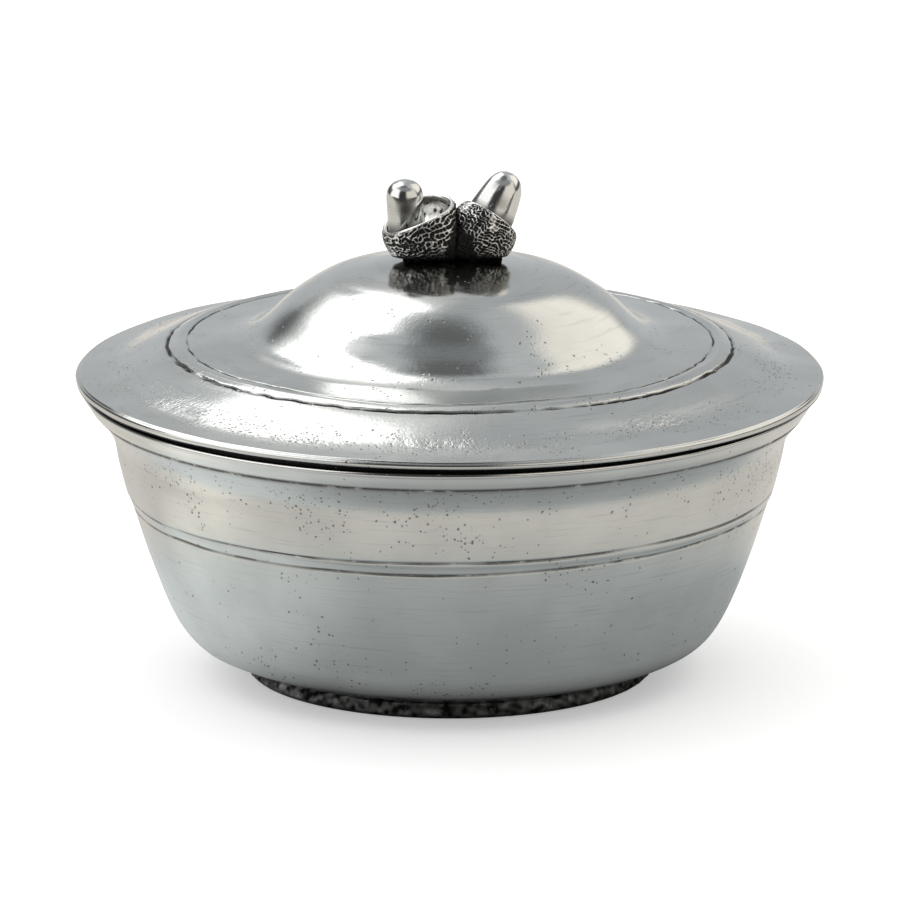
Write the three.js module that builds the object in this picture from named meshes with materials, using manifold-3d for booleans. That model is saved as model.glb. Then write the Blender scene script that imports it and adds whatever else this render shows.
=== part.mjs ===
// Covered sugar bowl in pewter: a round flared bowl on a ring foot, and a domed
// lift-off lid whose finial is a pair of acorns leaning apart.
// Millimetres, +Z up. The origin is the centre of the foot's underside.
import * as THREE from 'three';
import { mergeVertices } from 'three/addons/utils/BufferGeometryUtils.js';
import Module from 'manifold-3d';

const wasm = await Module();
wasm.setup();

// Driving dimensions
const SEAM = 0.3; // joint gap left between soldered or nested pieces
const WALL = 1.8; // bowl wall
const LID_WALL = 1.7;

const FOOT_RADIUS = 34.2;
const FOOT_WIDTH = 3.8;
const FOOT_HEIGHT = 2.5;
const BASE_Z = FOOT_HEIGHT + SEAM; // underside of the bowl

const LOWER_RING_Z = 29.7; // the two scribed lines round the bowl
const LOWER_RING_RADIUS = 53.4;
const UPPER_RING_Z = 31.8;
const UPPER_RING_RADIUS = 54.3;
const SCRIBE_DEPTH = 0.3;
const SCRIBE_HALF_WIDTH = 0.35;

const LIP_RADIUS = 59.5; // outside of the bowl's upright lip
const LIP_START_Z = 45.4; // where the flare under it ends
const LIP_TOP_Z = 49.3;
const BAND_LOW_Z = 45.5; // flared band applied round the lip
const BAND_TOP_Z = 49;
const BAND_RADIUS = 61.4;

const LID_RADIUS = 62.5;
const LID_EDGE_LOW_Z = 49.15;
const LID_EDGE_TOP_Z = 50.8;
const CROWN_Z = 70.35;
const PEG_RADIUS = 1.9;
const PEG_LOW_Z = 67.2;

const BEZEL_OUTER_RADIUS = 56.8; // ring under the lid that drops inside the lip
const BEZEL_WIDTH = 1.5;
const BEZEL_LOW_Z = 46;
const BEZEL_TOP_Z = 49.8;

const PLINTH_LOW_Z = CROWN_Z + SEAM;
const PLINTH_THICKNESS = 0.4;
const PLINTH_HALF_LENGTH = 8.3;
const PLINTH_HALF_WIDTH = 2.3;
const PLINTH_CENTRE_X = 0.4;
const CUP_LOW_Z = PLINTH_LOW_Z + PLINTH_THICKNESS + SEAM;
const TUCK = 0.5; // how much a cup narrows, front to back, from TUCK_TOP_Z down to its underside
const TUCK_TOP_Z = CUP_LOW_Z + 4;
const VALLEY_X = 0.9; // upright plane where the two acorn cups meet
const SOCKET_DEPTH = 0.9; // hollow in each cup that its nut sits in
const NUT_ROOT = 2; // how far a nut's outline runs on below its foot, before it is cut
const CUTTER_SIZE = 60;

const ROUND_STEPS = 60; // facets round the bowl and lid
const ACORN_STEPS = 24;

const pewter = new THREE.MeshStandardMaterial({ color: 0xa9aba8, metalness: 1, roughness: 0.32 });
const polishedPewter = new THREE.MeshStandardMaterial({ color: 0xbabcb9, metalness: 1, roughness: 0.2 });
const darkPewter = new THREE.MeshStandardMaterial({ color: 0x55585a, metalness: 1, roughness: 0.55 });

// Profiles are lists of (radius, height) points that run up the outside first.
function at(radius, z) {
  return new THREE.Vector2(radius, z);
}

function curve(points, steps) {
  return new THREE.SplineCurve(points).getPoints(steps);
}

function arc(centreRadius, centreZ, radius, fromDegrees, toDegrees, steps) {
  const points = [];
  for (let i = 0; i <= steps; i += 1) {
    const angle = THREE.MathUtils.degToRad(fromDegrees + ((toDegrees - fromDegrees) * i) / steps);
    points.push(at(centreRadius + radius * Math.cos(angle), centreZ + radius * Math.sin(angle)));
  }
  return points;
}

// The same outline moved a wall's thickness to its left, which is inwards here.
function inset(points, thickness) {
  return points.map((point, i) => {
    const before = points[Math.max(i - 1, 0)];
    const after = points[Math.min(i + 1, points.length - 1)];
    const along = after.clone().sub(before).normalize();
    return at(point.x - along.y * thickness, point.y + along.x * thickness);
  });
}

function revolve(profile, steps) {
  const geometry = new THREE.LatheGeometry(profile, steps);
  return geometry.rotateX(Math.PI / 2);
}

function named(name, geometry, material) {
  const mesh = new THREE.Mesh(geometry, material);
  mesh.name = name;
  return mesh;
}

function toSolid(geometry) {
  const bare = geometry.clone();
  bare.deleteAttribute('normal');
  bare.deleteAttribute('uv');
  const merged = mergeVertices(bare, 1e-4);
  const corners = merged.index.array;
  const triangles = [];
  for (let i = 0; i < corners.length; i += 3) {
    const [a, b, c] = [corners[i], corners[i + 1], corners[i + 2]];
    if (a !== b && b !== c && c !== a) {
      triangles.push(a, b, c);
    }
  }
  const mesh = new wasm.Mesh({
    numProp: 3,
    vertProperties: new Float32Array(merged.attributes.position.array),
    triVerts: new Uint32Array(triangles),
  });
  return new wasm.Manifold(mesh);
}

function toGeometry(solid) {
  const { vertProperties, triVerts } = solid.getMesh();
  const geometry = new THREE.BufferGeometry();
  geometry.setAttribute('position', new THREE.BufferAttribute(vertProperties, 3));
  geometry.setIndex(new THREE.BufferAttribute(triVerts, 1));
  geometry.computeVertexNormals();
  return geometry;
}

// V-shaped line scribed round an outline that rises steadily at this height.
function scribe(radius, z) {
  return [
    at(radius - SCRIBE_HALF_WIDTH * 0.35, z - SCRIBE_HALF_WIDTH),
    at(radius - SCRIBE_DEPTH, z),
    at(radius + SCRIBE_HALF_WIDTH * 0.35, z + SCRIBE_HALF_WIDTH),
  ];
}

function makeFootRing() {
  const inner = FOOT_RADIUS - FOOT_WIDTH;
  const edge = 0.5;
  const profile = [
    at(inner, 0),
    at(FOOT_RADIUS - edge, 0),
    at(FOOT_RADIUS, edge),
    at(FOOT_RADIUS - 0.2, FOOT_HEIGHT),
    at(inner, FOOT_HEIGHT),
    at(inner, 0),
  ];
  return named('foot_ring', revolve(profile, ROUND_STEPS), darkPewter);
}

// From the foot the bowl turns up in a soft corner, rises as a steep cone past the
// scribed lines, swells into a low shoulder and flares out under the lip.
function bowlFlank(steps) {
  const corner = [at(34, BASE_Z), at(39.9, 4.7), at(44, 7.2), at(47, 12), at(50.5, 21)];
  return [...curve(corner, steps), at(LOWER_RING_RADIUS, LOWER_RING_Z)];
}

function bowlShoulder(steps) {
  const swell = [
    at(UPPER_RING_RADIUS, UPPER_RING_Z),
    at(55.6, 37),
    at(56.3, 40.6),
    at(57.6, 43.1),
    at(LIP_RADIUS, LIP_START_Z),
  ];
  return curve(swell, steps);
}

function makeBowlShell() {
  const flank = bowlFlank(9).slice(0, -1);
  const shoulder = bowlShoulder(8).slice(1);
  const insideFlank = bowlFlank(6);
  const insideShoulder = bowlShoulder(5);
  const inside = inset([...insideFlank, ...insideShoulder], WALL).reverse();
  const profile = [
    at(0, BASE_Z),
    ...flank,
    ...scribe(LOWER_RING_RADIUS, LOWER_RING_Z),
    ...scribe(UPPER_RING_RADIUS, UPPER_RING_Z),
    ...shoulder,
    at(LIP_RADIUS, LIP_TOP_Z - 0.3),
    at(LIP_RADIUS - 0.3, LIP_TOP_Z),
    at(LIP_RADIUS - WALL + 0.3, LIP_TOP_Z),
    at(LIP_RADIUS - WALL, LIP_TOP_Z - 0.3),
    ...inside,
    at(0, BASE_Z + WALL),
  ];
  return named('bowl_shell', revolve(profile, ROUND_STEPS), pewter);
}

// The band carries the flare on outwards and ends in a small bead at its top edge.
function makeRimBand() {
  const flatBack = LIP_RADIUS + SEAM;
  const bead = 0.5;
  const flare = curve([at(flatBack + 0.1, BAND_LOW_Z), at(60.35, 46.6), at(61, 47.8)], 3);
  const edge = arc(BAND_RADIUS - bead, BAND_TOP_Z - bead, bead, -20, 90, 4);
  const profile = [at(flatBack, BAND_LOW_Z), ...flare, ...edge, at(flatBack, BAND_TOP_Z)];
  return named('rim_band', revolve([...profile, profile[0].clone()], ROUND_STEPS), polishedPewter);
}

// The lid's outside from its edge up to the crown: a flange that is flatter near its
// edge, a narrow band between two scribed lines, a flat collar, then a bell-shaped dome.
const FLANGE = [
  at(LID_RADIUS, LID_EDGE_TOP_Z),
  at(60, 51.15),
  at(57.8, 51.5),
  at(56, 51.95),
  at(54.2, 52.7),
  at(51.5, 53.95),
  at(49, 54.95),
];
const OUTER_LINE = [at(47.7, 55.4), at(47.2, 55), at(46.7, 55.7)];
const INNER_LINE = [at(44.3, 56.1), at(43.9, 55.8), at(43.5, 56.25)];
const COLLAR_AND_DOME = [
  at(38.5, 56.5),
  at(35.8, 56.9),
  at(33.3, 57.9),
  at(31, 59.6),
  at(26.5, 63.7),
  at(20.5, 67.4),
  at(14.5, 68.85),
  at(9, 69.75),
  at(4, 70.28),
  at(PEG_RADIUS + SEAM, CROWN_Z),
];

function makeLidShell() {
  const flange = curve(FLANGE, 8).slice(1);
  const dome = curve(COLLAR_AND_DOME, 14);
  const insideCurve = [...curve(FLANGE, 4), ...curve(COLLAR_AND_DOME, 10)];
  const inside = inset(insideCurve, LID_WALL).slice(1).reverse();
  const edge = [
    at(LID_RADIUS - 0.9, LID_EDGE_LOW_Z),
    at(LID_RADIUS - 0.3, LID_EDGE_LOW_Z + 0.2),
    at(LID_RADIUS, LID_EDGE_LOW_Z + 0.6),
    at(LID_RADIUS, LID_EDGE_TOP_Z - 0.5),
    at(LID_RADIUS - 0.35, LID_EDGE_TOP_Z),
  ];
  const outside = [...edge, ...flange, ...OUTER_LINE, ...INNER_LINE, ...dome];
  const profile = [...outside, ...inside, edge[0].clone()];
  return named('lid_shell', revolve(profile, ROUND_STEPS), pewter);
}

function makeLidBezel() {
  const inner = BEZEL_OUTER_RADIUS - BEZEL_WIDTH;
  const profile = [
    at(inner, BEZEL_LOW_Z),
    at(BEZEL_OUTER_RADIUS - 0.4, BEZEL_LOW_Z),
    at(BEZEL_OUTER_RADIUS, BEZEL_LOW_Z + 0.4),
    at(BEZEL_OUTER_RADIUS, BEZEL_TOP_Z - 0.4),
    at(inner, BEZEL_TOP_Z),
    at(inner, BEZEL_LOW_Z),
  ];
  return named('lid_bezel', revolve(profile, ROUND_STEPS), pewter);
}

// A thin oval plinth under both cups, with a peg that passes through the crown.
function makeFinialBase() {
  const oval = new THREE.Shape();
  oval.absellipse(PLINTH_CENTRE_X, 0, PLINTH_HALF_LENGTH, PLINTH_HALF_WIDTH, 0, Math.PI * 2);
  const plate = new THREE.ExtrudeGeometry(oval, {
    depth: PLINTH_THICKNESS,
    bevelEnabled: false,
    curveSegments: 32,
  });
  plate.translate(0, 0, PLINTH_LOW_Z);
  const pegLength = PLINTH_LOW_Z + PLINTH_THICKNESS / 2 - PEG_LOW_Z;
  const peg = new THREE.CylinderGeometry(PEG_RADIUS, PEG_RADIUS, pegLength, 24);
  peg.rotateX(Math.PI / 2);
  peg.translate(0, 0, PEG_LOW_Z + pegLength / 2);
  const joined = toSolid(plate).add(toSolid(peg));
  return named('finial_base', toGeometry(joined), darkPewter);
}

// Each acorn's cup leans along an axis through the middle of its mouth, and its nut
// stands along an axis of its own from a foot inside the mouth.
const ACORNS = [
  {
    name: 'left_acorn',
    side: -1,
    mouth: new THREE.Vector3(-5.35, -0.8, 77.7),
    cupTilt: -23,
    cupLean: -10,
    cup: [at(5.4, -9.4), at(6.4, -6.4), at(6.85, -4.4), at(7, -2.2), at(6.8, -0.8)],
    lip: [at(6.4, 0), at(6, 0.1), at(5.75, 0)],
    foot: new THREE.Vector3(-7.5, -1.4, 76),
    nutTilt: -2,
    nutLean: -4,
    nut: [
      at(2.45, -NUT_ROOT),
      at(2.45, 1.2),
      at(2.6, 2.6),
      at(2.98, 5.1),
      at(2.72, 6.5),
      at(1.95, 7.5),
    ],
    nutTip: 8.05,
  },
  {
    name: 'right_acorn',
    side: 1,
    mouth: new THREE.Vector3(7, 1.5, 76.9),
    cupTilt: 36,
    cupLean: 18,
    cup: [at(4.6, -9.4), at(5.5, -6.4), at(5.8, -4), at(5.75, -2.4), at(5.45, -0.9)],
    lip: [at(5.15, 0), at(4.95, 0.1), at(4.75, 0)],
    foot: new THREE.Vector3(6.8, 1.8, 77.4),
    nutTilt: 28,
    nutLean: 12,
    nut: [at(3.6, -NUT_ROOT), at(3.75, 0.2), at(3.55, 2.4), at(3.2, 4.3), at(2.8, 5.7), at(2.05, 6.9)],
    nutTip: 7.75,
  },
];

function standing(geometry, place, tiltDegrees, leanDegrees) {
  const tilt = THREE.MathUtils.degToRad(tiltDegrees);
  const lean = THREE.MathUtils.degToRad(leanDegrees);
  const placer = new THREE.Object3D();
  placer.position.copy(place);
  placer.rotation.set(-lean, tilt, 0, 'YXZ');
  placer.updateMatrix();
  return geometry.applyMatrix4(placer.matrix);
}

// A block whose top face is level with this height.
function blockBelow(z) {
  const block = new THREE.BoxGeometry(CUTTER_SIZE, CUTTER_SIZE, CUTTER_SIZE);
  return block.translate(0, 0, z - CUTTER_SIZE / 2);
}

// Draws a cup's lower part in towards middleY, so that it stands on a narrow foot.
function tuckUnder(geometry, middleY) {
  const position = geometry.attributes.position;
  for (let i = 0; i < position.count; i += 1) {
    const height = Math.max(position.getZ(i), CUP_LOW_Z);
    const share = THREE.MathUtils.clamp((TUCK_TOP_Z - height) / (TUCK_TOP_Z - CUP_LOW_Z), 0, 1);
    const y = position.getY(i);
    position.setY(i, y - TUCK * share ** 2 * (y - middleY));
  }
  return geometry;
}

// The cup is a solid of revolution, tucked in below, then cut flat over the plinth and
// along the valley where it would run into the other cup.
function makeCup(acorn) {
  const roundedBottom = 0.6;
  const bottomZ = acorn.cup[0].y - roundedBottom;
  const socketRadius = acorn.lip[2].x;
  const profile = [
    at(0, bottomZ),
    at(acorn.cup[0].x - 2 * roundedBottom, bottomZ),
    ...curve(acorn.cup, 8),
    ...acorn.lip,
    at(socketRadius, -SOCKET_DEPTH),
    at(0, -SOCKET_DEPTH),
  ];
  const turned = standing(revolve(profile, ACORN_STEPS), acorn.mouth, acorn.cupTilt, acorn.cupLean);
  const tucked = tuckUnder(turned, acorn.mouth.y / 2);
  const beyond = new THREE.BoxGeometry(CUTTER_SIZE, CUTTER_SIZE, CUTTER_SIZE);
  const valleyFace = VALLEY_X + (acorn.side * SEAM) / 2;
  beyond.translate(valleyFace - (acorn.side * CUTTER_SIZE) / 2, 0, CROWN_Z);
  const trimmed = toSolid(tucked).subtract(toSolid(blockBelow(CUP_LOW_Z))).subtract(toSolid(beyond));
  return named(`${acorn.name}_cup`, toGeometry(trimmed), pewter);
}

// The nut is a smooth solid of revolution, cut off just above the floor of its socket.
function makeNut(acorn) {
  const tipRounding = 0.1;
  const shoulder = acorn.nut[acorn.nut.length - 1];
  const profile = [
    at(0, -NUT_ROOT),
    ...curve(acorn.nut, 12),
    at(shoulder.x / 2, acorn.nutTip - 2 * tipRounding),
    at(0, acorn.nutTip),
  ];
  const turned = standing(revolve(profile, ACORN_STEPS), acorn.foot, acorn.nutTilt, acorn.nutLean);
  const socket = blockBelow(SEAM - SOCKET_DEPTH);
  const belowSocket = standing(socket, acorn.mouth, acorn.cupTilt, acorn.cupLean);
  const trimmed = toSolid(turned).subtract(toSolid(belowSocket));
  return named(`${acorn.name}_nut`, toGeometry(trimmed), polishedPewter);
}

const bowl = new THREE.Group();
bowl.add(makeFootRing(), makeBowlShell(), makeRimBand());

const lid = new THREE.Group();
lid.add(makeLidShell(), makeLidBezel(), makeFinialBase());
for (const acorn of ACORNS) {
  lid.add(makeCup(acorn), makeNut(acorn));
}

const sugarBowl = new THREE.Group();
sugarBowl.add(bowl, lid);

export default sugarBowl;
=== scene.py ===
"""A covered pewter sugar bowl with an acorn finial, on a white table."""

import math

import bmesh
import bpy
import numpy as np
from mathutils import Euler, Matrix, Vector


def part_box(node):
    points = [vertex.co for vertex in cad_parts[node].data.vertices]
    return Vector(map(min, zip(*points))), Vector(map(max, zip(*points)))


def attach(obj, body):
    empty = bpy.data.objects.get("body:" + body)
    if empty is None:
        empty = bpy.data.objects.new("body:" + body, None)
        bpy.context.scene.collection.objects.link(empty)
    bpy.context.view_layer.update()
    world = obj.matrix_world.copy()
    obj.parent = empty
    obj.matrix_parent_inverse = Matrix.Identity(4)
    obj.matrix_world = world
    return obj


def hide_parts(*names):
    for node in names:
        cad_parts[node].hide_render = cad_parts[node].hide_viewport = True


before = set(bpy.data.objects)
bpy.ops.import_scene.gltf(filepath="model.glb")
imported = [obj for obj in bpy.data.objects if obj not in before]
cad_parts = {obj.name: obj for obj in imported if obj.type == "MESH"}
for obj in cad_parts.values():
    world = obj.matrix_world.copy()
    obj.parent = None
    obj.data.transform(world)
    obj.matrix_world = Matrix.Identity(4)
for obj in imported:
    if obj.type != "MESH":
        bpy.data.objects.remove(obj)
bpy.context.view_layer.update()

MM = 0.001


def cad_mm(node):
    """A CAD node's box in millimetres, as two lists."""
    low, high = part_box(node)
    return [c / MM for c in low], [c / MM for c in high]


# Driving sizes in millimetres, from the frame
FOOT_RADIUS = cad_mm("foot_ring")[1][0]
FOOT_TOP = cad_mm("foot_ring")[1][2]
BASE_Z = cad_mm("bowl_shell")[0][2]
LIP_RADIUS, LIP_TOP = cad_mm("bowl_shell")[1][0], cad_mm("bowl_shell")[1][2]
BAND_RADIUS, BAND_TOP = cad_mm("rim_band")[1][0], cad_mm("rim_band")[1][2]
BAND_LOW = cad_mm("rim_band")[0][2]
LID_RADIUS, CROWN_Z = cad_mm("lid_shell")[1][0], cad_mm("lid_shell")[1][2]
LID_LOW = cad_mm("lid_shell")[0][2]
BEZEL_RADIUS, BEZEL_TOP = cad_mm("lid_bezel")[1][0], cad_mm("lid_bezel")[1][2]
BEZEL_LOW = cad_mm("lid_bezel")[0][2]
VALLEY_LEFT = cad_mm("left_acorn_cup")[1][0]
VALLEY_RIGHT = cad_mm("right_acorn_cup")[0][0]
VALLEY_X = (VALLEY_LEFT + VALLEY_RIGHT) / 2
SEAT_Z = CROWN_Z + 0.3  # underside of both cups, just above the crown

WALL = 1.8
LID_WALL = 1.7
LOWER_RING_Z = 29.7  # the two lines scribed round the bowl
UPPER_RING_Z = 31.8
RING_HALF_WIDTH = 0.34
RING_LEAN = 0.012  # the lines climb a little towards +X
RINGS_MIDDLE_Z = 30.7  # where they climb most
SHOULDER_Z = 40.5
HEEL_Z = 6
OUTER_LINE_RADIUS = 47.2  # the two lines scribed on the lid
INNER_LINE_RADIUS = 43.9
FLANGE_RADIUS = 55.2  # middle of the lid's pitted flange
DOME_FOOT_RADIUS = 34
FOOT_WIDTH = 3.8
HIDDEN_PATINA = 0.12  # on surfaces inside the bowl and under the lid
GAP_SHADE = 3.0  # painted shade: black, deep in the joint between the bowl and the lid
PLINTH_PEG_RADIUS = 1.9
TUCK = 0.5  # how much a cup narrows, front to back, over TUCK_HEIGHT above its seat
TUCK_HEIGHT = 4.0
CUP_FADE_HEIGHT = 8.8  # the painted shade in the valley thins out over this height up a cup
LID_TILT = math.radians(0.25)  # the lid sits a little high on the left


# ---------------------------------------------------------------- outlines
def spline(points, per_span=24):
    """A Catmull-Rom curve through (radius, height) points."""
    p = np.array(points, float)
    p = np.vstack([p[:1], p, p[-1:]])
    out = []
    for i in range(1, len(p) - 2):
        t = np.linspace(0, 1, per_span, endpoint=False)[:, None]
        v0 = (p[i + 1] - p[i - 1]) / 2
        v1 = (p[i + 2] - p[i]) / 2
        a = 2 * p[i] - 2 * p[i + 1] + v0 + v1
        b = -3 * p[i] + 3 * p[i + 1] - 2 * v0 - v1
        out.append(a * t**3 + b * t**2 + v0 * t + p[i])
    out.append(p[-1:])
    return np.vstack(out)


def arc(centre, radius, start, end, steps=8):
    """Points on a circle, with its angles in degrees."""
    a = np.radians(np.linspace(start, end, steps + 1))
    return np.column_stack([centre[0] + radius * np.cos(a), centre[1] + radius * np.sin(a)])


def spaced(points, step, fine_step=None, fine=()):
    """The same outline with a point every step, or every fine_step inside the height ranges in fine."""
    p = np.array(points, float)
    length = np.concatenate([[0], np.cumsum(np.hypot(*np.diff(p, axis=0).T))])
    where, out = 0.0, []
    while where < length[-1]:
        r, z = np.interp(where, length, p[:, 0]), np.interp(where, length, p[:, 1])
        out.append((r, z))
        close = any(lo < z < hi for lo, hi in fine)
        where += fine_step if close else step
    out.append(tuple(p[-1]))
    return np.array(out)


def inset(points, thickness):
    """An outline that runs up the outside, moved inwards by a wall's thickness."""
    along = np.gradient(points, axis=0)
    along /= np.linalg.norm(along, axis=1)[:, None]
    return points + thickness * np.column_stack([-along[:, 1], along[:, 0]])


# ---------------------------------------------------------------- handwork
def ripple(angle, seed, low=2, high=7):
    """A smooth random function of the angle round the bowl, about -1 to 1."""
    rng = np.random.default_rng(seed)
    total = np.zeros_like(angle)
    for k in range(low, high + 1):
        total += rng.normal() / math.sqrt(k) * np.cos(k * angle + rng.uniform(0, 2 * math.pi))
    return total / 1.6


def waves(x, y, z, seed, length, count=10):
    """A smooth random function of place, about -1 to 1, that varies over about that length."""
    rng = np.random.default_rng(seed)
    total = np.zeros(np.broadcast(x, y, z).shape)
    for _ in range(count):
        kx, ky, kz = rng.normal(size=3) * 2 * math.pi / (length * 1.7)
        total += np.cos(kx * x + ky * y + kz * z + rng.uniform(0, 2 * math.pi))
    return total / math.sqrt(count)


def notch(distance, half_width):
    """1 at the middle of a scribed line, falling to 0 at its sides."""
    return np.clip(1 - np.abs(distance) / half_width, 0, 1)


# ---------------------------------------------------------------- meshes
def turned(name, outline, steps, body, material, shape, replaces):
    """A turned piece: the outline, in millimetres, revolved round Z.

    shape(angle, r, z, nr, nz) returns how far each point moves along its normal, how much
    patina and painted shade lies there and how pitted it is, so that a piece isn't perfectly regular.
    """
    p = np.array(outline, float)
    along = np.gradient(p, axis=0)
    along /= np.maximum(np.linalg.norm(along, axis=1), 1e-9)[:, None]
    nr, nz = along[:, 1], -along[:, 0]
    angle = np.linspace(0, 2 * math.pi, steps, endpoint=False)[:, None]
    r = np.broadcast_to(p[:, 0], (steps, len(p))).copy()
    z = np.broadcast_to(p[:, 1], (steps, len(p))).copy()
    out, patina_and_shade, pitting = (np.broadcast_to(v, r.shape) for v in shape(angle, r, z, nr, nz))
    out = np.where(r < 1e-6, 0, out)
    r = r + out * nr
    z = z + out * nz
    points = np.stack([r * np.cos(angle), r * np.sin(angle), z], axis=2) * MM
    return piece(name, points.reshape(-1, 3), quads_round(steps, len(p)), (patina_and_shade, pitting), body,
                 material, replaces)


def piece(name, points, faces, finish, body, material, replaces):
    """A smooth closed mesh that rides on a body. finish is its patina and painted shade, and its pitting,
    per point.
    """
    if body == "lid":
        points = points + np.outer(points[:, 0], (0, 0, -math.sin(LID_TILT)))
    mesh = bpy.data.meshes.new(name)
    mesh.from_pydata(points.tolist(), [], faces.tolist())
    for key, values in zip(("patina_and_shade", "pitting"), finish):
        values = np.ascontiguousarray(np.broadcast_to(values, len(points)) if np.ndim(values) == 0
                                      else np.ravel(values), dtype=np.float32)
        mesh.attributes.new(key, "FLOAT", "POINT").data.foreach_set("value", values)
    work = bmesh.new()
    work.from_mesh(mesh)
    bmesh.ops.remove_doubles(work, verts=work.verts, dist=1e-7)
    bmesh.ops.recalc_face_normals(work, faces=work.faces)
    for face in work.faces:
        face.smooth = True
    work.to_mesh(mesh)
    work.free()
    mesh.materials.append(material)
    made = bpy.data.objects.new(name, mesh)
    bpy.context.scene.collection.objects.link(made)
    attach(made, body)
    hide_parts(*replaces)
    return made


# ---------------------------------------------------------------- materials
class Nodes:
    """A small helper that adds shader nodes and links them."""

    def __init__(self, tree):
        self.tree = tree

    def add(self, kind, **sockets):
        node = self.tree.nodes.new(kind)
        for key, value in sockets.items():
            socket = node.inputs[int(key[1:])] if key[1:].isdigit() else node.inputs[key]
            if isinstance(value, bpy.types.NodeSocket):
                self.tree.links.new(value, socket)
            else:
                socket.default_value = value
        return node

    def math(self, operation, a, b=0.0, c=0.0, clamp=False):
        node = self.add("ShaderNodeMath", i0=a, i1=b, i2=c)
        node.operation = operation
        node.use_clamp = clamp
        return node.outputs[0]

    def noise(self, place, scale, detail=3.0, roughness=0.5):
        node = self.add("ShaderNodeTexNoise", Vector=place, Scale=scale, Detail=detail, Roughness=roughness)
        return node.outputs["Fac"]

    def fade(self, value, start, end):
        """0 where value is at start, 1 where it is at end."""
        node = self.add("ShaderNodeMapRange", Value=value)
        node.interpolation_type = "SMOOTHSTEP"
        node.inputs["From Min"].default_value = start
        node.inputs["From Max"].default_value = end
        return node.outputs["Result"]

    def blend(self, factor, a, b):
        node = self.add("ShaderNodeMix", i0=factor)
        node.data_type = "RGBA"
        for socket, value in ((node.inputs[6], a), (node.inputs[7], b)):
            if isinstance(value, bpy.types.NodeSocket):
                self.tree.links.new(value, socket)
            else:
                socket.default_value = value
        return node.outputs[2]


def empty_material(name):
    """A material with no nodes yet, and a helper to add them."""
    material = bpy.data.materials.new(name)
    material.use_nodes = True
    material.node_tree.nodes.clear()
    return material, Nodes(material.node_tree)


def pits(n, place, spacing, radius, amount):
    """Small irregular casting pits: 1 in a pit. amount, up to 1, is how many cells hold one."""
    ragged = n.add("ShaderNodeTexNoise", Vector=place, Scale=1.6 / spacing, Detail=2.0)
    push = n.add("ShaderNodeVectorMath", i0=ragged.outputs["Color"], i1=(0.5, 0.5, 0.5))
    push.operation = "SUBTRACT"
    shifted = n.add("ShaderNodeVectorMath", i0=push.outputs[0], i1=(spacing * 0.7,) * 3)
    shifted.operation = "MULTIPLY"
    moved = n.add("ShaderNodeVectorMath", i0=place, i1=shifted.outputs[0])
    cells = n.add("ShaderNodeTexVoronoi", Vector=moved.outputs[0], Scale=1 / spacing, Randomness=1.0)
    pick = n.add("ShaderNodeSeparateColor", Color=cells.outputs["Color"])
    size = n.math("MULTIPLY", n.math("MULTIPLY_ADD", pick.outputs[1], 0.7, 0.3), radius / spacing)
    depth = n.math("SUBTRACT", 1.0, n.math("DIVIDE", cells.outputs["Distance"], size), clamp=True)
    return n.math("MULTIPLY", n.fade(depth, 0.0, 0.7), n.math("LESS_THAN", pick.outputs[0], amount))


def attribute(n, name):
    node = n.add("ShaderNodeAttribute")
    node.attribute_name = name
    return node.outputs["Fac"]


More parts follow.
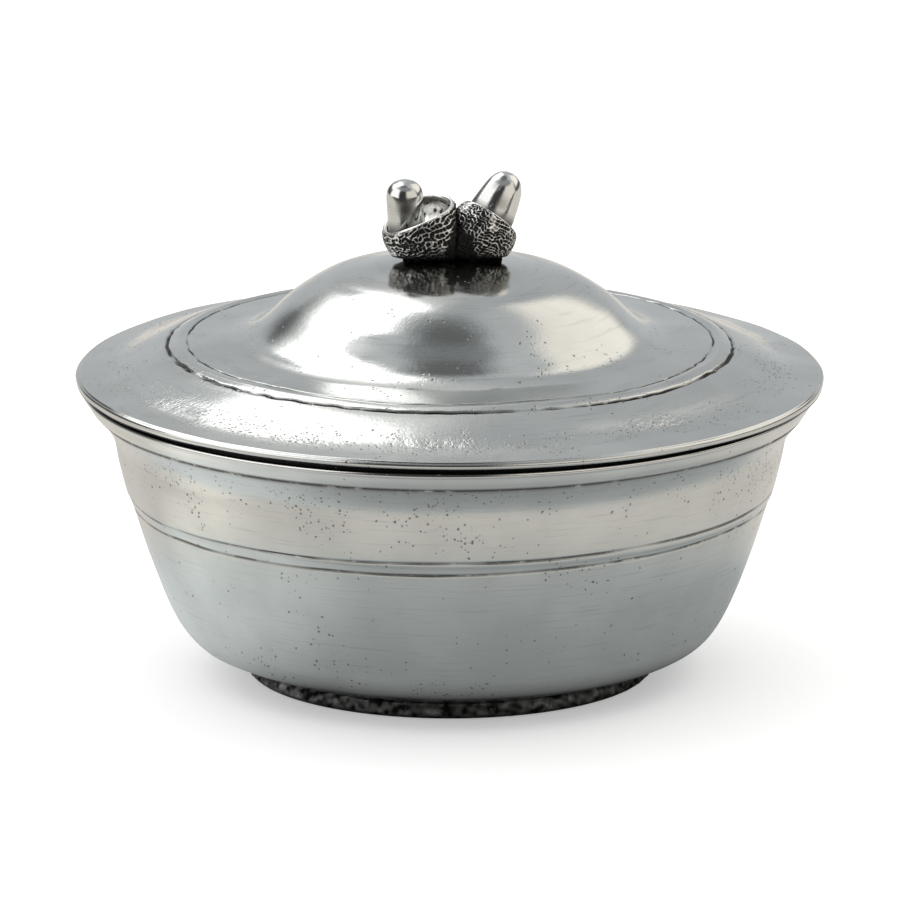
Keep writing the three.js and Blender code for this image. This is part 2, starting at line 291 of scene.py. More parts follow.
def pewter(name, colour, roughness, grain=0.010, patina_and_shade_gain=1.0):
    """Cast and turned pewter: satin metal with grain, pits, faint turning lines and dark patina, which also
    paints shade, down to near black, in joints, creases and under parts.
    """
    material, n = empty_material(name)
    tree = n.tree
    mapping = n.add("ShaderNodeMapping", Vector=n.add("ShaderNodeTexCoord").outputs["Object"])
    mapping.inputs["Scale"].default_value = (1 / MM,) * 3
    place = mapping.outputs[0]
    flat = n.add("ShaderNodeMapping", Vector=place)
    flat.inputs["Scale"].default_value = (0.10, 0.10, 2.6)

    cloud = n.noise(place, 0.055, 4.0, 0.55)
    mottle = n.noise(place, 0.45, 5.0, 0.62)
    fine = n.noise(place, 2.2, 3.0, 0.6)
    lines = n.noise(flat.outputs[0], 1.0, 4.0, 0.65)
    clusters = n.fade(n.noise(place, 0.11, 2.0), 0.36, 0.64)
    pitting = n.math("MULTIPLY", attribute(n, "pitting"), n.math("MULTIPLY_ADD", clusters, 0.9, 0.35))
    pepper = pits(n, place, 0.60, 0.36, n.math("MULTIPLY", n.math("SUBTRACT", pitting, 0.25), 0.85))
    small = pits(n, place, 1.15, 0.36, n.math("MULTIPLY", pitting, 0.45))
    large = pits(n, place, 5.5, 0.62, n.math("MULTIPLY", pitting, 0.45))
    pitted = n.math("MAXIMUM", n.math("MULTIPLY", pepper, 0.9), n.math("MAXIMUM", small, large))

    # The per-point attribute darkens hollows and scribed lines with patina, and paints shade, to near
    # black, in joints, creases and under parts.
    patchy = n.math("MULTIPLY", attribute(n, "patina_and_shade"), n.fade(mottle, 0.2, 0.5))
    patchy = n.math("MULTIPLY", patchy, patina_and_shade_gain, clamp=True)
    tarnish_and_shade = n.math("MAXIMUM", patchy, n.math("MULTIPLY", pitted, 0.75), clamp=True)

    dull = tuple(c * 0.88 for c in colour)
    dark = tuple(c * 0.05 for c in colour)
    base = n.blend(n.fade(cloud, 0.35, 0.7), (*colour, 1), (*dull, 1))
    base = n.blend(n.fade(lines, 0.52, 0.72), base, tuple(c * 0.84 for c in colour) + (1,))
    base = n.blend(tarnish_and_shade, base, (*dark, 1))

    rough = n.math("MULTIPLY_ADD", cloud, 0.12, roughness - 0.06)
    rough = n.math("ADD", rough, n.math("MULTIPLY", tarnish_and_shade, 0.35))
    rough = n.math("ADD", rough, n.math("MULTIPLY", n.math("SUBTRACT", fine, 0.5), 0.16))

    height = n.math("MULTIPLY", fine, grain)
    height = n.math("ADD", height, n.math("MULTIPLY", lines, grain * 0.6))
    height = n.math("ADD", height, n.math("MULTIPLY", mottle, grain * 2.2))
    coarse = n.math("MULTIPLY", n.math("POWER", pitting, 2.0), 0.05)
    height = n.math("ADD", height, n.math("MULTIPLY", n.noise(place, 1.35, 2.0), coarse))
    height = n.math("SUBTRACT", height, n.math("MULTIPLY", pepper, 0.024))
    height = n.math("SUBTRACT", height, n.math("MULTIPLY", small, 0.020))
    height = n.math("SUBTRACT", height, n.math("MULTIPLY", large, 0.036))
    bump = n.add("ShaderNodeBump", Height=height, Distance=MM, Strength=1.0)

    shader = n.add("ShaderNodeBsdfPrincipled", Metallic=1.0, Roughness=rough, Normal=bump.outputs[0])
    tree.links.new(base, shader.inputs["Base Color"])
    n.add("ShaderNodeOutputMaterial", Surface=shader.outputs[0])
    return material


# ---------------------------------------------------------------- bowl
def foot_outline():
    inner = FOOT_RADIUS - FOOT_WIDTH
    side = spline([(FOOT_RADIUS - 0.6, 0), (FOOT_RADIUS - 0.1, 0.5), (FOOT_RADIUS - 0.1, 1.6),
                   (FOOT_RADIUS - 0.5, FOOT_TOP)], 6)
    closing = [(inner + 0.3, FOOT_TOP), (inner, FOOT_TOP - 0.3), (inner, 0.3), (inner + 0.3, 0)]
    return np.vstack([side, closing, side[:1]])


def make_foot(material):
    def shape(angle, r, z, nr, nz):
        rough = waves(r * np.cos(angle), r * np.sin(angle), z, 11, 1.6, 24)
        outside = (r > FOOT_RADIUS - 1.2) & (z > 0.1)
        out = np.where(outside, rough * 0.08 - 0.08, 0)
        # The foot is darkened all over, most on its outer face: painted shade under the bowl's overhang,
        # made patchy by the rough casting.
        return out, np.where(outside, 0.75 + 0.3 * rough, 0.6), 1.0

    turned("foot", foot_outline(), 360, "bowl", material, shape, ("foot_ring",))


FLANK = [(33.8, 2.8), (39.9, 4.7), (44, 7.2), (47, 12), (50.5, 21), (53.4, 29.7), (54.3, 31.8),
         (55.6, 37), (56.3, 40.6), (57.6, 43.1), (59.5, 45.4)]


def bowl_outline():
    flank = spline(FLANK)
    bands = [(LOWER_RING_Z - 1.6, UPPER_RING_Z + 1.6)]
    outside = spaced(flank, 0.7, 0.14, bands)
    inside = spaced(inset(flank, WALL), 1.4)[::-1]
    lip = np.vstack([
        arc((LIP_RADIUS - 0.4, LIP_TOP - 0.4), 0.4, 0, 90, 4),
        arc((LIP_RADIUS - WALL + 0.4, LIP_TOP - 0.4), 0.4, 90, 180, 4),
    ])
    under = np.column_stack([np.linspace(0, 33.2, 12), np.full(12, BASE_Z)])
    floor = np.column_stack([np.linspace(32, 0, 12), np.full(12, BASE_Z + WALL)])
    return np.vstack([under, outside, lip, inside, floor])


def make_bowl(material):
    def shape(angle, r, z, nr, nz):
        x, y = r * np.cos(angle), r * np.sin(angle)
        outside = nr > 0.2
        out = waves(x, y, z, 3, 34) * 0.10 + waves(x, y, z, 4, 14) * 0.020
        patina_and_shade = np.zeros_like(x)
        lean = RING_LEAN * x * np.exp(-(((z - RINGS_MIDDLE_Z) / 6) ** 2))
        for ring_z, depth, seed in ((LOWER_RING_Z, 0.20, 21), (UPPER_RING_Z, 0.22, 22)):
            wander = 0.10 * ripple(angle, seed, 3, 9)
            line = notch(z - ring_z - lean - wander, RING_HALF_WIDTH)
            deep = 0.75 + 0.35 * ripple(angle, seed + 10, 5, 40)
            out = out - line * depth * np.clip(deep, 0.2, 1.3)
            patina_and_shade = patina_and_shade + line * np.clip(deep * 1.2, 0.25, 1)
        at_lip = r > LIP_RADIUS - WALL - 0.2
        # A dark joint line just under the rim band; above it, behind the band and over the lip, painted
        # shade, black, in the gap under the lid.
        seam = np.clip((z - BAND_LOW + 0.6) / 0.6, 0, 1) * at_lip
        seam = np.where(z > BAND_LOW, seam * GAP_SHADE, seam)
        # Painted shade in the crease under the bowl where it meets the foot.
        crease = np.clip((35.5 - r) / 1.5, 0, 1) * (z < 4.2)
        patina_and_shade = np.maximum(patina_and_shade, np.maximum(seam, crease * 0.9))
        inner_dull = np.where(outside, 0, HIDDEN_PATINA)
        shoulder = np.clip(1 - np.abs(z - SHOULDER_Z) / 6.5, 0, 1) * (0.75 + 0.35 * waves(x, y, z, 8, 26))
        heel = np.clip(1 - np.abs(z - HEEL_Z) / 7, 0, 1)
        pitting = 0.26 + 0.52 * shoulder + 0.25 * heel + 0.12 * waves(x, y, z, 9, 12)
        return np.where(outside, out, 0), np.maximum(patina_and_shade * outside, inner_dull), pitting

    turned("bowl", bowl_outline(), 384, "bowl", material, shape, ("bowl_shell",))


def make_band(material):
    back = LIP_RADIUS + 0.02
    flare = spline([(back + 0.12, BAND_LOW + 0.05), (60.35, 46.6), (61.0, 47.8)], 10)
    bead = arc((BAND_RADIUS - 0.5, BAND_TOP - 0.7), 0.5, -25, 100, 12)
    outline = np.vstack([[(back, BAND_LOW)], flare, bead, [(back, BAND_TOP - 0.25)], [(back, BAND_LOW)]])

    def shape(angle, r, z, nr, nz):
        x, y = r * np.cos(angle), r * np.sin(angle)
        out = waves(x, y, z, 7, 18) * 0.05
        # The band's lowest edge is a dark joint line; its top, in the gap under the lid, is painted shade,
        # black.
        low = np.clip((BAND_LOW + 0.5 - z) / 0.5, 0, 1)
        top = np.clip((z - BAND_TOP + 0.25) / 0.25, 0, 1)
        return np.where(r > back + 0.3, out, 0), np.maximum(low, top * 2.5), 0.15

    turned("rim", outline, 384, "bowl", material, shape, ("rim_band",))


# ---------------------------------------------------------------- lid
LID_TOP = [(62.1, 50.85), (60, 51.15), (57.8, 51.5), (56, 51.95), (54.2, 52.7), (51.5, 53.95), (49, 54.95),
           (47.2, 55.5), (45.5, 56.15), (43.9, 56.15), (38.5, 56.5), (35.8, 56.9), (33.3, 57.9),
           (31, 59.6), (26.5, 63.7), (20.5, 67.4), (14.5, 68.85), (9, 69.75), (4, 70.28),
           (0, CROWN_Z)]


def lid_outline():
    top = spline(LID_TOP)
    scribed = [(54.9, 56.6)]
    outside = spaced(top, 0.6, 0.14, scribed)
    under = spaced(inset(spline(LID_TOP[:-1]), LID_WALL), 1.4)
    under = under[under[:, 0] < LID_RADIUS - 2.2][::-1]
    edge = np.vstack([
        arc((LID_RADIUS - 0.7, LID_LOW + 0.6), 0.6, -90, 0, 5),
        arc((LID_RADIUS - 0.55, 50.25), 0.55, 0, 75, 6),
    ])
    return np.vstack([edge, outside, [(0, CROWN_Z - LID_WALL)], under, edge[:1]])


def make_lid(material):
    def shape(angle, r, z, nr, nz):
        x, y = r * np.cos(angle), r * np.sin(angle)
        outside = (nz > 0.15) | (r > LID_RADIUS - 1.0)
        out = waves(x, y, z, 13, 32) * 0.09 + waves(x, y, z, 14, 13) * 0.018
        patina_and_shade = np.zeros_like(x)
        lines = ((OUTER_LINE_RADIUS, 0.50, 0.42, 31), (INNER_LINE_RADIUS, 0.26, 0.30, 32))
        for radius, depth, width, seed in lines:
            wander = 0.12 * ripple(angle, seed, 3, 12)
            ragged = 0.12 * ripple(angle, seed + 20, 30, 90)
            line = notch(r - radius - wander - ragged, width)
            deep = 0.8 + 0.4 * ripple(angle, seed + 10, 4, 50)
            out = out - line * depth * np.clip(deep, 0.25, 1.4)
            patina_and_shade = patina_and_shade + line * np.clip(deep * 2.4 - 0.5, 0.3, 2.2)
        edge_low = (r > LID_RADIUS - 2.0) & (z < LID_LOW + 0.5)
        out = np.where(outside, out, 0) - edge_low * 0.55 * np.clip(-np.sin(angle), 0, 1) ** 2
        # Painted shade, black, under the lid where it lies over the lip and along its lower edge, in the
        # joint with the bowl.
        over_lip = r > LIP_RADIUS - WALL - 1
        under = np.where(over_lip, GAP_SHADE, HIDDEN_PATINA) * ~outside
        under = np.maximum(under, edge_low * GAP_SHADE)
        towards_front = np.clip(0.75 - 0.55 * np.sin(angle), 0.3, 1.2)
        flange = np.clip(1 - np.abs(r - FLANGE_RADIUS) / 4.5, 0, 1) * towards_front
        by_line = np.clip(1 - np.abs(r - OUTER_LINE_RADIUS) / 1.6, 0, 1)
        dome_foot = np.clip(1 - np.abs(r - DOME_FOOT_RADIUS) / 3.5, 0, 1)
        pitting = 0.22 + 1.1 * flange + 0.5 * by_line + 0.3 * dome_foot + 0.15 * waves(x, y, z, 19, 14)
        return out, np.maximum(patina_and_shade * outside, under), pitting

    turned("lid", lid_outline(), 384, "lid", material, shape, ("lid_shell",))


def make_bezel(material):
    inner = BEZEL_RADIUS - 1.5
    outline = np.vstack([
        [(inner, BEZEL_LOW + 0.3), (inner + 0.3, BEZEL_LOW)],
        arc((BEZEL_RADIUS - 0.4, BEZEL_LOW + 0.4), 0.4, -90, 0, 4),
        [(BEZEL_RADIUS, BEZEL_TOP - 0.4), (inner, BEZEL_TOP), (inner, BEZEL_LOW + 0.3)],
    ])

    def shape(angle, r, z, nr, nz):
        near_joint = np.clip((z - BEZEL_TOP + 1.5) / 1.5, 0, 1)
        return 0.0, near_joint, 0.2

    turned("bezel", outline, 256, "lid", material, shape, ("lid_bezel",))


# ---------------------------------------------------------------- finial
# Each cup leans along an axis through its mouth, and each nut along one of its own from its foot.
# columns and cell set how many hollows the netting has round the cup and how tall they are, saddle
# how much the lip rises at front and back, hollow how deep the cup is, dark_low how far painted shade
# spreads from the valley at the cup's base, and reflection_and_stain the height, size and strength of
# the dark patch on the front of the nut: a painted reflection of the dark room, over some real oxide.
ACORNS = {
    "left": {
        "mouth": (-5.35, -0.8, 77.7), "tilt": -23, "lean": -10, "seed": 5, "columns": 50, "cell": 0.76,
        "cup": [(5.4, -9.4), (6.4, -6.4), (6.85, -4.4), (7.0, -2.2), (6.75, -0.7), (6.35, -0.1),
                (6.0, 0.05), (5.7, -0.1)],
        "saddle": 0.9, "hollow": 2.4, "dark_low": 1.7,
        "nut_foot": (-7.35, -1.4, 76.0), "nut_tilt": -2, "nut_lean": -4,
        "nut": [(2.9, -1.5), (3.0, 1.0), (3.06, 3.0), (3.1, 5.1), (2.84, 6.5), (2.05, 7.5), (0.9, 7.98)],
        "tip": 8.05, "reflection_and_stain": (4.0, 1.7, 0.75),
    },
    "right": {
        "mouth": (7.0, 1.5, 76.9), "tilt": 36, "lean": 18, "seed": 6, "columns": 48, "cell": 0.62,
        "cup": [(4.6, -9.4), (5.5, -6.4), (5.8, -4), (5.75, -2.4), (5.4, -0.8), (5.0, -0.1), (4.7, 0.0),
                (4.4, -0.1)],
        "saddle": 0.2, "hollow": 1.0, "dark_low": 5.2,
        "nut_foot": (6.8, 1.8, 77.4), "nut_tilt": 28, "nut_lean": 12,
        "nut": [(3.9, -1.6), (3.9, 0.2), (3.6, 2.4), (3.25, 4.3), (2.85, 5.7), (2.05, 6.95), (0.95, 7.6)],
        "tip": 7.75, "reflection_and_stain": (2.4, 1.5, 0.4),
    },
}


def stand(place, tilt, lean):
    """A frame along a leaning axis: its turn, and its origin in millimetres."""
    turn = Euler((-math.radians(lean), math.radians(tilt), 0), "XYZ")
    return np.array(turn.to_matrix()), np.array(place)


def netting(angle, along, columns, cell, seed):
    """Rows of small hollows with thin raised lines between them, as on an acorn's cup. 1 in a hollow."""
    rng = np.random.default_rng(seed)
    row = np.floor(along / cell).astype(int)
    shift = rng.uniform(0, 1, 64)[row % 64]
    across = angle / (2 * math.pi) * columns + shift
    column = np.floor(across).astype(int) % columns
    pick = (row % 64, column)
    wide = rng.uniform(0.40, 0.50, (64, columns))
    wide = np.where(rng.uniform(0, 1, wide.shape) < 0.22, 0.62, wide)[pick]
    tall = rng.uniform(0.38, 0.49, (64, columns))
    tall = np.where(rng.uniform(0, 1, tall.shape) < 0.18, 0.6, tall)[pick]
    off_x = rng.uniform(-0.06, 0.06, (64, columns))[pick]
    off_y = rng.uniform(-0.06, 0.06, (64, columns))[pick]
    fx = np.abs(across - np.floor(across) - 0.5 + off_x) / wide
    fy = np.abs(along / cell - row - 0.5 + off_y) / tall
    far = (fx**4 + fy**4) ** 0.25
    return np.clip((1 - far) / 0.30, 0, 1)


def revolved(outline, steps):
    """Angle, radius and height of every point of an outline turned round its axis."""
    angle = np.linspace(0, 2 * math.pi, steps, endpoint=False)[:, None]
    r = np.broadcast_to(outline[:, 0], (steps, len(outline))).copy()
    z = np.broadcast_to(outline[:, 1], (steps, len(outline))).copy()
    return angle, r, z


def quads_round(steps, count):
    """The faces of a turned piece whose points run along the outline, then round."""
    i, j = np.arange(steps)[:, None], np.arange(count - 1)[None, :]
    ahead = (i + 1) % steps
    faces = np.stack([i * count + j, ahead * count + j, ahead * count + j + 1, i * count + j + 1], axis=2)
    return faces.reshape(-1, 4)


def make_cup(side, material):
    """A netted cup, cut flat on its seat and along the valley between the two."""
    acorn = ACORNS[side]
    turn, mouth = stand(acorn["mouth"], acorn["tilt"], acorn["lean"])
    low, inner, deep = acorn["cup"][0], acorn["cup"][-1][0], acorn["hollow"]
    hollow_side = [(inner - 0.1, -0.4), (inner - 0.35, -0.6 * deep), (inner - 1.6, -deep)]
    socket = spaced(spline(hollow_side, 8), 0.1)
    outline = np.vstack([
        [(0, low[1] - 0.6), (low[0] - 1.5, low[1] - 0.5)],
        spaced(spline(acorn["cup"]), 0.08),
        socket,
        [(0, -deep)],
    ])
    steps = 400
    angle, r, z = revolved(outline, steps)
    along = np.concatenate([[0], np.cumsum(np.hypot(*np.diff(outline, axis=0).T))])
    slope = np.gradient(outline, axis=0)
    slope /= np.linalg.norm(slope, axis=1)[:, None]
    nr, nz = slope[:, 1], -slope[:, 0]
    x, y = r * np.cos(angle), r * np.sin(angle)
    meander = 0.3 * ripple(angle, acorn["seed"], 2, 9)
    hollow = netting(angle + 0.045 * waves(x, y, z, 3, 1.8), along[None, :] + meander
                     + 0.20 * waves(x, y, z, 4, 1.7), acorn["columns"], acorn["cell"], acorn["seed"])
    worn = np.clip(waves(x, y, z, acorn["seed"] + 80, 4.5) * 1.2 + 1.5, 0.25, 1)
    outside = (z < -0.15) & (nr > 0.2)
    inside = (nr < 0.1) & (z < -0.2)
    pocked = np.clip(waves(x, y, z, acorn["seed"] + 90, 1.0, 24) * 1.2 - 0.5, 0, 1)
    hollow = np.where(outside, hollow * worn, np.where(inside, pocked * 0.45, 0))
    swell = waves(x, y, z, acorn["seed"] + 40, 6) * 0.16
    out = np.where(outside, swell - 0.32 * hollow, np.where(inside & (r > 1), -0.25 * hollow, 0))
    r, z = r + out * nr, z + out * nz
    z = z + np.where(z > -4, (1 + z / 4) * acorn["saddle"] * np.sin(angle) ** 2, 0) * (r > 2)
    local = np.stack([r * np.cos(angle), r * np.sin(angle), z], axis=2).reshape(-1, 3)
    world = local @ turn.T + mouth
    world[:, 2] = np.maximum(world[:, 2], SEAT_Z)
    tuck = np.clip((SEAT_Z + TUCK_HEIGHT - world[:, 2]) / TUCK_HEIGHT, 0, 1) ** 2 * TUCK
    world[:, 1] -= tuck * (world[:, 1] - mouth[1] * 0.5)
    away = 1 if side == "left" else -1
    valley = (VALLEY_X - world[:, 0]) * away
    world[:, 0] += np.minimum(valley + 0.12, 0) * away
    # Painted shade, near black, in the valley between the two cups, spreading up each cup from its seat.
    drop = np.clip((SEAT_Z + CUP_FADE_HEIGHT - world[:, 2]) / CUP_FADE_HEIGHT, 0, 1)
    edge = acorn["dark_low"] * drop**1.2 * (1 + 0.25 * waves(*world.T, acorn["seed"] + 95, 2.2))
    crease = np.clip((0.35 + edge - valley) / 1.6, 0, 1)
    # Painted shade, black, under each cup where it sits on the crown.
    under = np.clip((SEAT_Z + 0.5 - world[:, 2]) / 0.4, 0, 1)
    # Painted shade in the cup's socket round the nut's foot.
    from_nut = np.hypot(*(world[:, :2] - np.array(acorn["nut_foot"][:2])).T) - acorn["nut"][1][0]
    sunk = ((nr < 0.1) & (r > 0) & (z < -0.2)).ravel() * np.clip(1.2 - from_nut / 1.6, 0, 1)
    patina_and_shade = np.maximum(np.maximum(hollow.ravel(), sunk) * 1.6, np.maximum(crease * 1.6, under * 2.5))
    patina_and_shade = np.maximum(patina_and_shade, inside.ravel() * 0.28)
    pitting = np.where(inside, 1.0, 0.3)
    piece(f"{side}_cup", world * MM, quads_round(steps, len(outline)), (patina_and_shade, pitting), "lid", material,
          (f"{side}_acorn_cup",))


def make_nut(side, material):
    """A smooth nut in its cup: painted shade at its foot, and a painted reflection over some oxide on its
    front.
    """
    acorn = ACORNS[side]
    turn, foot = stand(acorn["nut_foot"], acorn["nut_tilt"], acorn["nut_lean"])
    curve = spaced(spline(acorn["nut"]), 0.2)
    outline = np.vstack([[(0, curve[0][1])], curve, [(0, acorn["tip"])]])
    steps = 128
    angle, r, z = revolved(outline, steps)
    swell = waves(r * np.cos(angle), r * np.sin(angle), z, acorn["seed"] + 60, 6) * 0.05
    r = r + np.where(r > 0.3, swell, 0)
    local = np.stack([r * np.cos(angle), r * np.sin(angle), z], axis=2).reshape(-1, 3)
    # Painted shade at the nut's foot, where it sits down in the cup.
    patina_and_shade = np.clip((1.6 - z) / 1.6, 0, 1) * 0.8
    # The dark patch on the nut's front is a painted reflection of the dark room in front, over some real
    # oxide.
    patch_z, patch_size, reflection_and_stain = acorn["reflection_and_stain"]
    from_patch = np.hypot(np.arctan2(np.cos(angle), -np.sin(angle)) * r - 0.3, z - patch_z) / patch_size
    patina_and_shade = np.maximum(patina_and_shade, reflection_and_stain * np.clip(1.3 - from_patch, 0, 1)).ravel()
    world = local @ turn.T + foot
    piece(f"{side}_nut", world * MM, quads_round(steps, len(outline)), (patina_and_shade, 0.3), "lid", material,
          (f"{side}_acorn_nut",))


def make_plinth(material):
    """The oval seat under both cups, let right through the crown's wall, with its peg, black with painted
    shade all over.
    """
    low, high = cad_mm("finial_base")
    middle, half_x, half_y = (low[0] + high[0]) / 2, (high[0] - low[0]) / 2, high[1]
    peg = PLINTH_PEG_RADIUS / half_x
    under = CROWN_Z - LID_WALL - 0.2
    outline = np.array([(0, low[2]), (peg * 0.8, low[2]), (peg, low[2] + 0.3), (peg, under), (0.95, under),
                        (1.0, CROWN_Z - 0.3), (1.0, SEAT_Z), (0.9, SEAT_Z + 0.5), (0, SEAT_Z + 0.5)])
    steps = 96
    angle, r, z = revolved(outline, steps)
    edge = 1 + 0.012 * ripple(angle, 71, 3, 12)
    half_y = np.where(r > 1.1 * peg, half_y, half_x)
    points = np.stack([middle + r * edge * half_x * np.cos(angle), r * edge * half_y * np.sin(angle), z],
                      axis=2)
    # Fully darkened all over: painted shade under the cups.
    piece("plinth", points.reshape(-1, 3) * MM, quads_round(steps, len(outline)), (1.0, 1.0), "lid",
          material, ("finial_base",))


# ---------------------------------------------------------------- stage
TABLE_SIZE = 12.0  # metres
TABLE_GLOW = 0.36  # light of its own, which keeps the table white
BOUNCE_REACH = 300.0  # millimetres from the axis over which the bounce's brightness changes
EVEN_TENT = 0.60  # what matt surfaces see of the world


def emission(name, build):
    """A material that only gives off light; build(nodes) returns its colour and strength."""
    material, n = empty_material(name)
    colour, strength = build(n)
    shader = n.add("ShaderNodeEmission", Color=colour, Strength=strength)
    n.add("ShaderNodeOutputMaterial", Surface=shader.outputs[0])
    return material


def sheet(name, size, height, material):
    half = size / 2
    mesh = bpy.data.meshes.new(name)
    corners = [(-half, -half, height), (half, -half, height), (half, half, height), (-half, half, height)]
    mesh.from_pydata(corners, [], [(0, 1, 2, 3)])
    mesh.materials.append(material)
    made = bpy.data.objects.new(name, mesh)
    bpy.context.scene.collection.objects.link(made)
    return made


def make_table():
    white = bpy.data.materials.new("table_white")
    white.use_nodes = True
    shader = white.node_tree.nodes["Principled BSDF"]
    shader.inputs["Base Color"].default_value = (0.9, 0.9, 0.9, 1)
    shader.inputs["Roughness"].default_value = 0.9
    shader.inputs["Specular IOR Level"].default_value = 0.1
    shader.inputs["Emission Color"].default_value = (1, 1, 1, 1)
    shader.inputs["Emission Strength"].default_value = TABLE_GLOW
    table = sheet("table", TABLE_SIZE, -0.0002, white)
    table.visible_glossy = False

    def lit(n):
        place = n.add("ShaderNodeTexCoord").outputs["Object"]
        radial = n.add("ShaderNodeVectorMath", i0=place)
        radial.operation = "LENGTH"
        r = n.math("DIVIDE", radial.outputs["Value"], MM)
        ramp = n.add("ShaderNodeValToRGB", Fac=n.math("DIVIDE", r, BOUNCE_REACH))
        # The bounce is the table as the metal sees it: a painted shadow of the bowl round its foot, a
        # painted pool of light to the left and a dark room past its front edge.
        stops = [(34, 0.04), (40, 0.16), (48, 0.34), (60, 0.41), (74, 0.48), (88, 0.66), (105, 0.72),
                 (150, 0.70), (BOUNCE_REACH, 0.75)]
        ramp.color_ramp.elements[0].position = stops[0][0] / BOUNCE_REACH
        ramp.color_ramp.elements[0].color = (stops[0][1],) * 3 + (1,)
        ramp.color_ramp.elements[1].position = 1.0
        ramp.color_ramp.elements[1].color = (stops[-1][1],) * 3 + (1,)
        for radius, level in stops[1:-1]:
            stop = ramp.color_ramp.elements.new(radius / BOUNCE_REACH)
            stop.color = (level,) * 3 + (1,)
        level = ramp.outputs["Color"]
        split = n.add("ShaderNodeSeparateXYZ", Vector=place)
        left = n.math("MULTIPLY", n.fade(split.outputs["X"], -0.02, -0.06), n.fade(r, 112, 70))
        level = n.blend(left, level, (0.78, 0.78, 0.78, 1))
        glow = n.add("ShaderNodeVectorMath", i0=place, i1=(-0.098, -0.022, 0.0))
        glow.operation = "DISTANCE"
        level = n.blend(n.fade(glow.outputs["Value"], 0.045, 0.008), level, (1.05, 1.05, 1.03, 1))
        front = n.fade(split.outputs["Y"], -0.115, -0.19)
        level = n.blend(front, level, (0.30, 0.30, 0.30, 1))
        level = n.blend(n.fade(split.outputs["Y"], -0.24, -0.30), level, (0.07, 0.07, 0.075, 1))
        tint = n.blend(n.fade(r, 70, 100), (0.95, 1.0, 1.0, 1), (1.04, 1.0, 0.93, 1))
        mixed = n.add("ShaderNodeMix", i0=1.0)
        mixed.data_type = "RGBA"
        mixed.blend_type = "MULTIPLY"
        n.tree.links.new(level, mixed.inputs[6])
        n.tree.links.new(tint, mixed.inputs[7])
        return mixed.outputs[2], 1.0

    bounce = sheet("table_bounce", TABLE_SIZE, -0.0004, emission("table_bounce", lit))
    bounce.visible_camera = False
    bounce.visible_diffuse = False
    bounce.visible_shadow = False


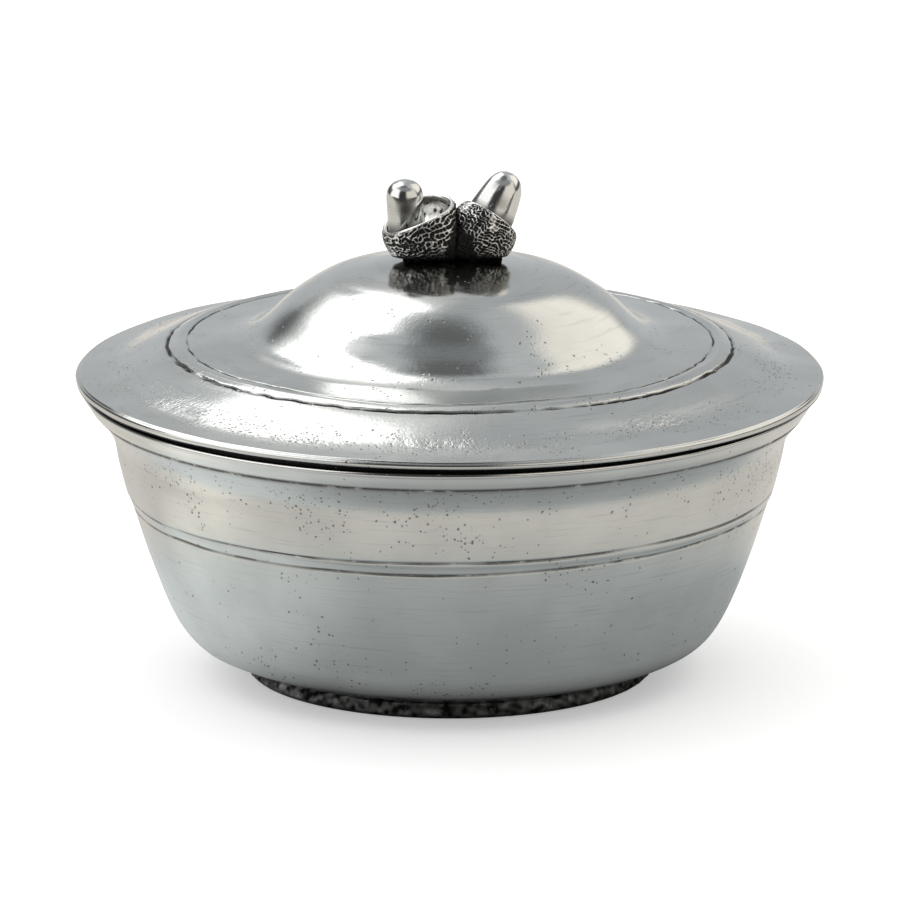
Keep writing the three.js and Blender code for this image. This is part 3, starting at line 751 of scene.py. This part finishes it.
def make_world():
    """A bright tent round the bowl, open to a dark room overhead and behind the camera.

    The metal sees the windows painted below; matt surfaces see an even white tent instead.
    """
    world = bpy.data.worlds.new("studio")
    bpy.context.scene.world = world
    world.use_nodes = True
    tree = world.node_tree
    tree.nodes.clear()
    n = Nodes(tree)
    ray = n.add("ShaderNodeTexCoord").outputs["Generated"]
    split = n.add("ShaderNodeSeparateXYZ", Vector=ray)
    x, y, z = split.outputs[0], split.outputs[1], split.outputs[2]

    degrees = 180 / math.pi
    azimuth = n.math("MULTIPLY", n.math("ARCTAN2", x, y), degrees)
    elevation = n.math("MULTIPLY", n.math("ARCSINE", z), degrees)

    def window(left, right, bottom, top, edge):
        """1 inside a range of azimuth and elevation in degrees, with a soft edge."""
        inside = n.math("MULTIPLY", n.fade(azimuth, left - edge, left + edge),
                        n.fade(azimuth, right + edge, right - edge))
        high = n.math("MULTIPLY", n.fade(elevation, bottom - edge, bottom + edge),
                      n.fade(elevation, top + edge, top - edge))
        return n.math("MULTIPLY", inside, high)

    cool, warm = (0.96, 1.0, 1.02), (1.05, 1.0, 0.92)

    def painted(mask, level, tint, under):
        return n.blend(mask, under, tuple(level * c for c in tint) + (1,))

    level = (0.05, 0.05, 0.055, 1)
    level = painted(window(-200, 200, 50, 120, 8), 0.33, cool, level)
    level = painted(window(-115, 115, 26, 120, 10), 0.64, cool, level)
    level = painted(window(-105, 105, -20, 26, 8), 0.13, cool, level)
    level = painted(window(-26, 30, -20, 26, 8), 0.60, cool, level)
    level = painted(window(-8, 28, 12, 80, 8), 0.54, cool, level)
    level = painted(window(98, 162, -24, 46, 9), 0.88, warm, level)
    level = painted(window(-146, -80, -24, 56, 7), 1.45, (1, 1, 1), level)
    level = painted(window(28, 90, 15, 58, 5), 1.18, warm, level)
    level = painted(window(-60, -1, 30, 66, 9), 0.95, (1, 1, 0.98), level)
    level = painted(window(-76, -11, 34, 69, 5), 2.6, (1, 1, 0.99), level)
    level = painted(window(-27, -16, 14, 39, 3), 0.60, cool, level)
    zenith = n.fade(elevation, 70, 84)
    level = painted(zenith, 0.17, cool, level)

    seen = n.add("ShaderNodeBackground", Color=(1, 1, 1, 1), Strength=1.0)
    lights = n.add("ShaderNodeBackground", Strength=1.0)
    tree.links.new(level, lights.inputs["Color"])
    even = n.add("ShaderNodeBackground", Color=(1, 1, 1, 1), Strength=EVEN_TENT)
    path = n.add("ShaderNodeLightPath")
    matt = n.add("ShaderNodeMixShader", Fac=path.outputs["Is Diffuse Ray"])
    tree.links.new(lights.outputs[0], matt.inputs[1])
    tree.links.new(even.outputs[0], matt.inputs[2])
    mix = n.add("ShaderNodeMixShader", Fac=path.outputs["Is Camera Ray"])
    tree.links.new(matt.outputs[0], mix.inputs[1])
    tree.links.new(seen.outputs[0], mix.inputs[2])
    n.add("ShaderNodeOutputWorld", Surface=mix.outputs[0])


def make_lights():
    """A wide soft lamp that lights the table and is not itself reflected."""
    data = bpy.data.lights.new("table_lamp", "AREA")
    data.shape = "DISK"
    data.size = 2.6
    data.energy = 10
    lamp = bpy.data.objects.new("table_lamp", data)
    lamp.location = (0.0, 0.15, 1.1)
    lamp.rotation_euler = (Vector((0, 0, 0)) - lamp.location).to_track_quat("-Z", "Y").to_euler()
    lamp.visible_glossy = False
    bpy.context.scene.collection.objects.link(lamp)


def make_camera():
    distance = 2.0
    pitch = math.radians(14.2)
    aim = Vector((0, 0, 0.03731))
    data = bpy.data.cameras.new("camera")
    data.sensor_width = 36
    data.lens = 478.1
    data.clip_start, data.clip_end = 0.1, 30
    camera = bpy.data.objects.new("camera", data)
    back = Vector((0, -math.cos(pitch), math.sin(pitch)))
    camera.location = aim + back * distance
    camera.rotation_euler = (-back).to_track_quat("-Z", "Y").to_euler()
    bpy.context.scene.collection.objects.link(camera)
    bpy.context.scene.camera = camera


bpy.context.scene.view_settings.view_transform = "Standard"
make_camera()
make_world()
make_lights()
make_table()

satin = pewter("pewter", (0.66, 0.67, 0.655), 0.17)
polished = pewter("lid_pewter", (0.66, 0.67, 0.655), 0.13)
bright = pewter("bright_pewter", (0.72, 0.72, 0.70), 0.12, grain=0.003)
# The cups' pewter is paler than the rest: a painted highlight on the netting's ridges.
netted = pewter("cup_pewter", (0.90, 0.89, 0.86), 0.20, grain=0.008, patina_and_shade_gain=1.8)
# A darker, rougher pewter for the foot: painted shade under the bowl's overhang, on the foot's rough cast
# finish.
darkened = pewter("dark_pewter", (0.34, 0.34, 0.33), 0.45, grain=0.05)
# Near black pewter for the plinth: painted shade under the two cups.
shade_black_pewter = pewter("black_pewter", (0.08, 0.08, 0.08), 0.5, grain=0.05)

make_foot(darkened)
make_bowl(satin)
make_band(bright)
make_lid(polished)
make_bezel(satin)
for side in ACORNS:
    make_cup(side, netted)
    make_nut(side, bright)
make_plinth(shade_black_pewter)
